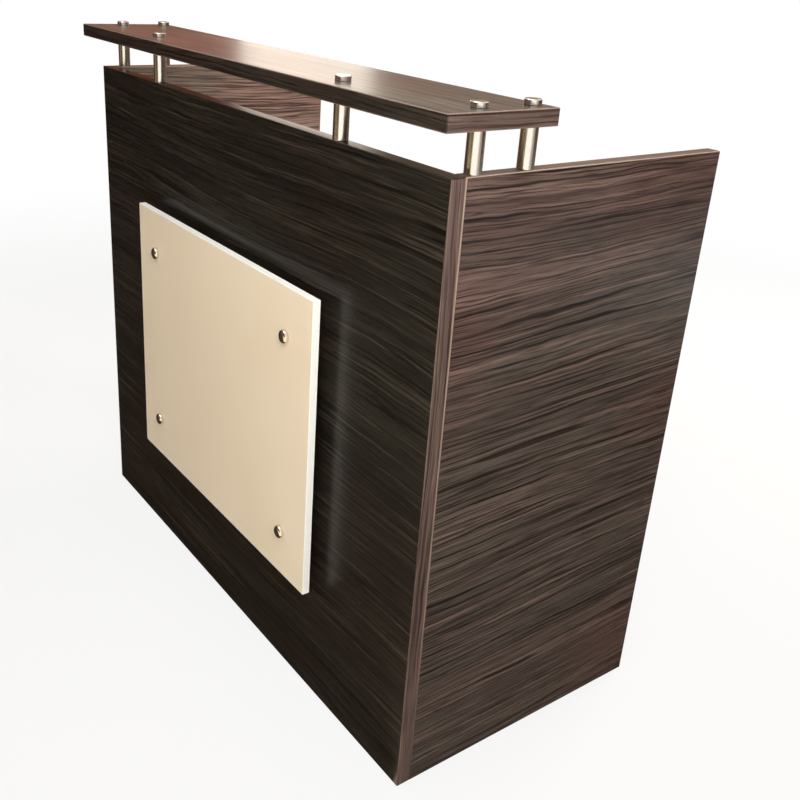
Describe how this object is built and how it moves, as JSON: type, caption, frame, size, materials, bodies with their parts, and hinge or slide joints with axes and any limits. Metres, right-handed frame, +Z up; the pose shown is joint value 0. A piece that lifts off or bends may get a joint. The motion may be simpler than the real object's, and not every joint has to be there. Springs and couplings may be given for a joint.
{
  "type": "reception desk",
  "caption": "Reception desk with a dark wood-grain panel body, a raised counter on round metal posts, a pale fascia on standoffs, and a work surface with a lockable drawer behind.",
  "frame": {"origin": "on the floor, under the middle of the desk's whole box", "axes": "+X to the visitor's right along the front, +Y from the visitor towards the staff side, +Z up"},
  "size_m": [1.26, 0.6162, 1.1513],
  "materials": {
    "dark_laminate": "satin dark brown-grey laminate with a long straight wood grain",
    "pale_fascia": "smooth satin cream board with white edges",
    "stainless": "turned and polished stainless steel",
    "zinc_steel": "bright zinc-plated steel",
    "pale_melamine": "fine-textured pale melamine board",
    "beech": "planed beech"
  },
  "bodies": {
    "desk": {"front_panel": "dark_laminate", "left_end_panel": "dark_laminate", "right_end_panel": "dark_laminate", "work_surface": "dark_laminate", "counter_board": "dark_laminate", "bay_partition": "dark_laminate", "bay_shelf": "dark_laminate", "fascia_panel": "pale_fascia", "counter_post_left_front": "stainless", "counter_post_left_rear": "stainless", "counter_post_right_front": "stainless", "counter_post_right_rear": "stainless", "counter_post_front_left": "stainless", "counter_post_front_right": "stainless", "counter_cap_left_front": "stainless", "counter_cap_left_rear": "stainless", "counter_cap_right_front": "stainless", "counter_cap_right_rear": "stainless", "counter_cap_front_left": "stainless", "counter_cap_front_right": "stainless", "post_bolt_left_front": "zinc_steel", "post_bolt_left_rear": "zinc_steel", "post_bolt_right_front": "zinc_steel", "post_bolt_right_rear": "zinc_steel", "post_bolt_front_left": "zinc_steel", "post_bolt_front_right": "zinc_steel", "fascia_standoff_upper_left": "stainless", "fascia_standoff_upper_right": "stainless", "fascia_standoff_lower_left": "stainless", "fascia_standoff_lower_right": "stainless", "fascia_cap_upper_left": "stainless", "fascia_cap_upper_right": "stainless", "fascia_cap_lower_left": "stainless", "fascia_cap_lower_right": "stainless", "fascia_bolt_upper_left": "zinc_steel", "fascia_bolt_upper_right": "zinc_steel", "fascia_bolt_lower_left": "zinc_steel", "fascia_bolt_lower_right": "zinc_steel", "support_rail_left": "beech", "support_rail_right": "beech", "support_rail_front": "beech", "corner_bracket_left_low": "zinc_steel", "corner_bracket_left_high": "zinc_steel", "corner_bracket_right_low": "zinc_steel", "corner_bracket_right_high": "zinc_steel", "cabinet_slide_left": "zinc_steel", "cabinet_slide_right": "zinc_steel", "lock_strike": "zinc_steel"},
    "drawer": {"drawer_front": "dark_laminate", "drawer_side_left": "pale_melamine", "drawer_side_right": "pale_melamine", "drawer_back": "pale_melamine", "drawer_bottom": "pale_melamine", "drawer_pull": "stainless", "drawer_slide_left": "zinc_steel", "drawer_slide_right": "zinc_steel", "lock_housing": "stainless"},
    "lock": {"lock_core": "stainless"}
  },
  "joints": [
    {"name": "drawer_slide", "type": "slide", "parent": "desk", "child": "drawer", "axis": [0, 1, 0], "range_m": [0, 0.3]},
    {"name": "lock_turn", "type": "hinge", "parent": "drawer", "child": "lock", "pos_m": [0.395, 0.26315, 0.69], "axis": [0, -1, 0], "range_deg": [0, 90]}
  ]
}
